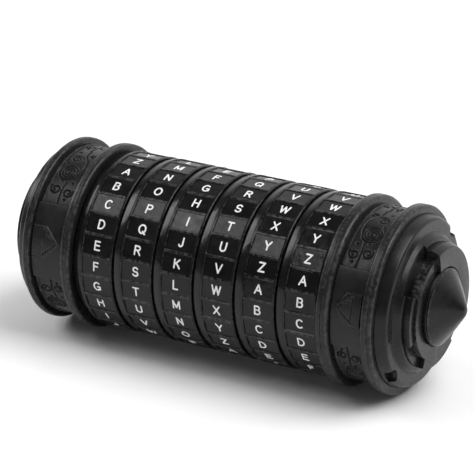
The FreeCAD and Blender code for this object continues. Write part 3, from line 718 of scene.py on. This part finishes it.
BODIES = {"right": "barrel", "left": "core"}
RIM_RADIUS = 26.8
OUTER_RIM_RADIUS = 26.4
# The inner face and the outer end of each collar's shell, outwards from the CAD collar's inner
# face.
COLLAR_ENDS = {"right": (0.0, 16.4), "left": (-0.5, 15.3)}
# The bore of the web inside each collar, and where the web starts.
COLLAR_WEBS = {"right": (16.45, 0), "left": (14.15, 4.9)}
WEB_THICKNESS = 3.2
# The hollows of a collar on the outer side and on the inner side of its web.
CAVITY_RADIUS = 20.5
INNER_CAVITY_RADIUS = 21.0
COLLAR_COLUMNS = 840
BAND_STEP = 0.13
# The fine line round each rim: how far it is from the rim's end, and (distance, depth) of its
# bottom and its far side.
INNER_LINE = 1.5
OUTER_LINE = 1.08
LINE_SECTION = ((0, 0), (0.1, 0.15), (0.22, 0))

# Along the band's edges runs a ditch with a ridge beside it.  A slope is where the height starts to
# change and where it has changed.
DITCH_DEPTH = 0.4
DITCH_SLOPE = (0.15, 0.4)
RIDGE_HEIGHT = 0.22
RIDGE_PLACE = 0.75
RIDGE_SLOPE = (0.08, 0.28)
PANEL_LIFT = 0.85
PANEL_END_SLOPE = (0.0, 0.35)
PANEL_EDGE_SLOPE = (0.1, 0.3)

# Tip, shoulders and tail of each pointer, outwards from the collar's inner face.
POINTER_STATIONS = {"right": (4.7, 8.1, 12.75), "left": (3.5, 8.1, 12.55)}
POINTER_HALF = 4.5
POINTER_HEIGHT = 0.3
POINTER_SLOPE = (0.0, 0.22)
# A triangle is cut in the pointer: its point and its base behind the pointer's tip, and how far its
# sides fall back for each millimetre across.
TRIANGLE_POINT = 1.0
TRIANGLE_BASE = 5.3
TRIANGLE_FLARE = 1.28
TRIANGLE_DEPTH = 0.28
TRIANGLE_SLOPE = (0.08, 0.26)
# A slot closes the pointer's tail.
SLOT_PLACE = 0.1
SLOT_DEPTH = 0.9
SLOT_SLOPE = (0.12, 0.26)


def pointer_relief(side, x, along):
    """Height of the pointer over its panel: a raised plate, a triangle cut in it, and a slot."""
    tip, shoulder, tail = POINTER_STATIONS[side]
    far = np.abs(along)

    def inside(start, flare):
        return (x - start - flare * far) / math.hypot(1, flare)

    flanks = inside(tip, (shoulder - tip) / POINTER_HALF)
    plate = np.minimum(np.minimum(flanks, POINTER_HALF - far), tail - x)
    triangle = np.minimum(inside(tip + TRIANGLE_POINT, TRIANGLE_FLARE), tip + TRIANGLE_BASE - x)
    slot = (1 - smooth_step(np.abs(x - tail - SLOT_PLACE), *SLOT_SLOPE)) * (far < POINTER_HALF)
    return (POINTER_HEIGHT * smooth_step(plate, *POINTER_SLOPE)
            - TRIANGLE_DEPTH * (1 - smooth_step(np.abs(triangle), *TRIANGLE_SLOPE))
            - SLOT_DEPTH * slot)


def collar(side, outward):
    """Collar with two rims, thin border lines, engraved scrollwork, a plain panel and a pointer."""
    node = f"{side}_collar"
    face = inner_face(node, outward)
    band_start, band_end = BAND_SPANS[side]
    width = band_end - band_start
    inner_end, length = COLLAR_ENDS[side]
    bore, web_start = COLLAR_WEBS[side]
    inner_line = [(inner_end + INNER_LINE + across, RIM_RADIUS - depth, 0)
                  for across, depth in LINE_SECTION]
    outer_line = [(length - OUTER_LINE - across, OUTER_RIM_RADIUS - depth, 0)
                  for across, depth in reversed(LINE_SECTION)]
    corners = [
        (inner_end, RIM_RADIUS, 0.9), *inner_line,
        (band_start, RIM_RADIUS, 1.2), (band_start, BAND_RADIUS, 0.1),
        (band_end, BAND_RADIUS, 0.1), (band_end, OUTER_RIM_RADIUS, 0.8),
        *outer_line, (length, OUTER_RIM_RADIUS, 0.9),
        (length, CAVITY_RADIUS, 0.2), (web_start + WEB_THICKNESS, CAVITY_RADIUS, 0.2),
        (web_start + WEB_THICKNESS, bore, 0.2), (web_start, bore, 0.2)]
    if web_start:
        corners += [(web_start, INNER_CAVITY_RADIUS, 0.2), (inner_end, INNER_CAVITY_RADIUS, 0.2)]
    outline = densified(rounded(corners), band_start + 0.1, band_end - 0.1, BAND_STEP)
    middle = math.radians(POINTER_ANGLE)
    found = {}

    def carved(x, r, angle):
        if not found:
            along = ((angle - middle + math.pi) % (2 * math.pi) - math.pi) * BAND_RADIUS
            band = ((x > band_start + 0.05) & (x < band_end - 0.05)
                    & (np.abs(r - BAND_RADIUS) < 0.01))
            depth = np.zeros_like(x)
            depth[band] = engraving((x - band_start)[band], along[band], width)
            found.update(band=band, along=along, depth=depth)
        return found["band"], found["along"], found["depth"]

    # The engraving's depth, stored for the material, which paints shade into the engraved lines.
    def attributes(x, r, angle):
        return {"carved": carved(x, r, angle)[2]}

    def relief(x, r, angle):
        band, along, depth = carved(x, r, angle)
        across = x - band_start
        edge = np.minimum(across, width - across)
        ditch = -DITCH_DEPTH * (1 - smooth_step(edge, *DITCH_SLOPE))
        ridge = RIDGE_HEIGHT * (1 - smooth_step(np.abs(edge - RIDGE_PLACE), *RIDGE_SLOPE))
        lifted = smooth_step(PANEL_HALF - np.abs(along), *PANEL_END_SLOPE)
        panel = PANEL_LIFT * smooth_step(edge, *PANEL_EDGE_SLOPE) + pointer_relief(side, x, along)
        height = (1 - lifted) * (ditch + ridge) + lifted * panel - LINE_DEPTH * depth
        return r + np.where(band, height, 0)

    item = turned(f"{node}_shell", outline, even_angles(COLLAR_COLUMNS), relief, 32, attributes)
    points = np.empty(len(item.data.vertices) * 3)
    item.data.vertices.foreach_get("co", points)
    points = points.reshape(-1, 3)
    points[:, 0] = face * MM + outward * points[:, 0]
    item.data.vertices.foreach_set("co", points.ravel())
    outwards(item.data)
    finish_piece(item, BODIES[side], "carved_lacquer", "cap_lacquer", node)


def cap_outline(face, outward, corners):
    """A rounded outline given from the cap's face outwards."""
    return rounded([(face + outward * x, r, size) for x, r, size in corners])


STEP_DISC_LENGTH = 8.1
STEP_DISC_CORNERS = (
    (0, 4.6, 0.1), (0, 20.45, 0.2), (2.8, 20.45, 0), (2.82, 24.3, 0.25), (5.7, 23.35, 0.4),
    (6.0, 22.6, 0.3), (6.0, 19.75, 0.15), (7.9, 18.5, 0.45), (STEP_DISC_LENGTH, 17.2, 0.3),
    (STEP_DISC_LENGTH, 2.1, 0.1), (3.0, 2.1, 0.1), (3.0, 4.6, 0.1))
CAP_COLUMNS = 192
# Two round scallops for a spanner: their angles, and their station, length, place and radius.
SPANNER_ANGLES = (140, 320)
SPANNER_STATION = 5.4
SPANNER_LENGTH = 3.2
SPANNER_PLACE = 24.0
SPANNER_RADIUS = 2.7

LOW_LUG = 1.9
TALL_LUG = 3.75
LUG_FLOOR = 0.5
TALL_SWEEP = 122.0
LUG_RING_CORNERS = (
    (0, 2.1, 0.1), (0, 17.5, 0.1), (LOW_LUG, 17.5, 0.1), (TALL_LUG, 16.7, 0.35),
    (TALL_LUG, 11.2, 0.1), (LOW_LUG, 11.2, 0), (LOW_LUG, 2.1, 0.1))
# Inside the lugs stands a boss, a little higher than the low lugs.
BOSS_HEIGHT = 2.6
BOSS_RADIUS = 15.0
# Start, sweep and floor of each notch.  The first one also cuts into the step disc.
NOTCHES = ((122.0, 50.0, -0.9), (220.0, 42.0, LUG_FLOOR), (325.0, 35.0, LUG_FLOOR))
# The angle at which each side's tall lug starts, in degrees.
TALL_STARTS = {"right": 200.0, "left": 141.5}
# Cutters reach this far past the surface they cut, out to this radius, and in to this one where
# they take everything.
CUT_EXCESS = 1
CUT_OUTER = 30
CUT_INNER = 1


def lug_block(face, outward, tall_start, low, high, inner, start, sweep):
    """A cutter given from the lug ring's face outwards, and round from the start of its tall lug."""
    near, far = sorted((face + outward * low, face + outward * high))
    begin = tall_start - outward * start
    end = begin - outward * sweep
    return sector(near, far, inner, CUT_OUTER, min(begin, end), max(begin, end))


def step_disc(side, outward):
    """End plate in two steps, with two spanner scallops and the foot of the widest notch."""
    node = f"{side}_step_disc"
    face = inner_face(node, outward)
    outline = cap_outline(face, outward, STEP_DISC_CORNERS)
    item = turned(f"{node}_shell", outline, even_angles(CAP_COLUMNS))
    cut(item, [round_cutter(face + outward * SPANNER_STATION, SPANNER_LENGTH, SPANNER_PLACE,
                            angle, SPANNER_RADIUS) for angle in SPANNER_ANGLES])
    start, sweep, floor = NOTCHES[0]
    cut(item, [lug_block(face + outward * STEP_DISC_LENGTH, outward, TALL_STARTS[side], floor,
                         CUT_EXCESS, BOSS_RADIUS, start, sweep)])
    finish_piece(soften(item, 0.12), BODIES[side], "cap_lacquer", "cap_lacquer", node,
                 rubbed_from=CUT_RUBBED_FROM)


def lug_ring(side, outward):
    """Castle ring: a tall lug, two low lugs, and three notches between them."""
    node = f"{side}_lug_ring"
    face = inner_face(node, outward)
    item = turned(f"{node}_shell", cap_outline(face, outward, LUG_RING_CORNERS),
                  even_angles(CAP_COLUMNS))
    top = TALL_LUG + CUT_EXCESS

    def block(low, inner, start, sweep):
        return lug_block(face, outward, TALL_STARTS[side], low, top, inner, start, sweep)

    cut(item, [block(BOSS_HEIGHT, CUT_INNER, TALL_SWEEP, 360 - TALL_SWEEP),
               block(LOW_LUG, BOSS_RADIUS, TALL_SWEEP, 360 - TALL_SWEEP)])
    cut(item, [block(floor, BOSS_RADIUS, start, sweep) for start, sweep, floor in NOTCHES])
    finish_piece(soften(item, 0.16), BODIES[side], "cap_lacquer", "cap_lacquer", node,
                 rubbed_from=CUT_RUBBED_FROM)


FINIAL_RADIUS = 10.8
FINIAL_LENGTH = 8.55
# The cone rises from its foot to the nose in a flat arc of this radius.
FOOT = 2.0
NOSE_START = 8.15
NOSE_RADIUS = 1.6
BULGE = 120.0
FLANK_POINTS = 15
NOSE_POINTS = 8
# The depth of the groove in front of the foot, and the blind hole for the stud.
FOOT_GROOVE = 0.25
STUD_RADIUS = 2.05
STUD_DEPTH = 4.45


def finial(side, outward):
    """Pointed end with slightly bulging flanks, a round nose and a blind hole."""
    node = f"{side}_finial"
    start, end = np.array((FOOT, FINIAL_RADIUS)), np.array((NOSE_START, NOSE_RADIUS))
    half = np.linalg.norm(end - start) / 2
    normal = np.array((FINIAL_RADIUS - NOSE_RADIUS, NOSE_START - FOOT)) / (2 * half)
    centre = (start + end) / 2 - normal * math.sqrt(BULGE ** 2 - half ** 2)
    first = math.atan2(*(start - centre)[::-1])
    last = math.atan2(*(end - centre)[::-1])
    flank = [(centre[0] + BULGE * math.cos(angle), centre[1] + BULGE * math.sin(angle), 0)
             for angle in np.linspace(first, last, FLANK_POINTS)]
    rise = FINIAL_LENGTH - NOSE_START
    nose = (NOSE_RADIUS ** 2 + rise ** 2) / (2 * rise)
    tip = [(FINIAL_LENGTH - nose + nose * math.cos(angle), nose * math.sin(angle), 0)
           for angle in np.linspace(math.asin(NOSE_RADIUS / nose), 0.02, NOSE_POINTS)[1:]]
    outline = cap_outline(inner_face(node, outward), outward, (
        (0, STUD_RADIUS, 0.1), (0, FINIAL_RADIUS, 0.15), (FOOT - 0.5, FINIAL_RADIUS, 0.1),
        (FOOT - 0.3, FINIAL_RADIUS - FOOT_GROOVE, 0), *flank, *tip, (FINIAL_LENGTH, 0.0, 0),
        (STUD_DEPTH, 0.0, 0), (STUD_DEPTH, STUD_RADIUS, 0.1)))
    item = turned(f"{node}_shell", outline, even_angles(160), sharp=40)
    edited(item.data, lambda solid: bmesh.ops.remove_doubles(solid, verts=solid.verts, dist=1e-6))
    finish_piece(item, BODIES[side], "cap_lacquer", "cap_lacquer", node)


# ---------------------------------------------------------------- assembly

for ring in range(RING_COUNT):
    letter_ring(ring)
    letters(ring)
for side, outward in (("right", 1), ("left", -1)):
    collar(side, outward)
    step_disc(side, outward)
    lug_ring(side, outward)
    finial(side, outward)

slots = {entry["node"]: entry["material_slot"] for entry in frame["record"]["subparts"]}
for node, item in frame["nodes"].items():
    item.data.materials.clear()
    item.data.materials.append(MATERIALS[slots[node]])


# ---------------------------------------------------------------- stage

# Places and sizes of the stage are in metres, powers in watts, angles in degrees.
FLOOR_SIZE = 8
# The surroundings' light in front and behind, and where it changes over.
DARK_SKY, LIGHT_SKY = 0.14, 1.0
SKY_SLOPE = (0.38, 0.66)
LIGHT_TARGET = Vector((0, 0, 0.03))
# The key light is three strips beside each other, as (offset, power).
KEY_MIDDLE = Vector((-0.383, -0.356, 0.70))
KEY_DIRECTION = Vector((0, 0.891, 0.454))
KEY_STRIPS = ((-0.105, 0.35), (0.0, 0.5), (0.105, 0.35))
CAMERA_AZIMUTH = 29.18
CAMERA_ELEVATION = 22.44
CAMERA_DISTANCE = 0.7485
CAMERA_LENS = 203.4
CAMERA_TARGET = Vector((0.00005, 0.0, AXIS_HEIGHT * MM + 0.0076))


def stage():
    bpy.ops.mesh.primitive_grid_add(x_subdivisions=8, y_subdivisions=8, size=FLOOR_SIZE)
    floor = bpy.context.object
    floor.name = "floor"
    floor.data.materials.append(floor_paper("floor_paper"))
    world = bpy.data.worlds.new("studio")
    bpy.context.scene.world = world
    world.use_nodes = True
    nodes, links = world.node_tree.nodes, world.node_tree.links
    direction = nodes.new("ShaderNodeTexCoord")
    parts = nodes.new("ShaderNodeSeparateXYZ")
    links.new(direction.outputs["Generated"], parts.inputs["Vector"])
    tone = ramp_of(nodes, links, parts.outputs["Y"], DARK_SKY, LIGHT_SKY, *SKY_SLOPE)
    links.new(tone, nodes["Background"].inputs["Color"])
    nodes["Background"].inputs["Strength"].default_value = 1.0


def softbox(name, place, width, height, watts):
    light = bpy.data.lights.new(name, "AREA")
    light.shape = "RECTANGLE"
    light.size = width
    light.size_y = height
    light.energy = watts
    item = bpy.data.objects.new(name, light)
    item.location = place
    item.rotation_euler = (LIGHT_TARGET - Vector(place)).to_track_quat("-Z", "Y").to_euler()
    bpy.context.scene.collection.objects.link(item)


def camera():
    azimuth, elevation = math.radians(CAMERA_AZIMUTH), math.radians(CAMERA_ELEVATION)
    back = Vector((math.sin(azimuth) * math.cos(elevation),
                   -math.cos(azimuth) * math.cos(elevation), math.sin(elevation)))
    data = bpy.data.cameras.new("camera")
    data.lens = CAMERA_LENS
    data.sensor_width = 36
    data.clip_start = 0.01
    item = bpy.data.objects.new("camera", data)
    item.location = CAMERA_TARGET + back * CAMERA_DISTANCE
    item.rotation_euler = (-back).to_track_quat("-Z", "Y").to_euler()
    bpy.context.scene.collection.objects.link(item)
    bpy.context.scene.camera = item


stage()
for number, (offset, watts) in enumerate(KEY_STRIPS):
    softbox(f"key_{number + 1}", KEY_MIDDLE + KEY_DIRECTION * offset, 0.45, 0.06, watts)
softbox("left_panel", (-0.74, -0.09, 0.48), width=0.4, height=0.35, watts=2.3)
softbox("overhead", (0.7, 0.1, 1.1), width=1.0, height=1.0, watts=17)
camera()
bpy.context.scene.view_settings.view_transform = "Standard"
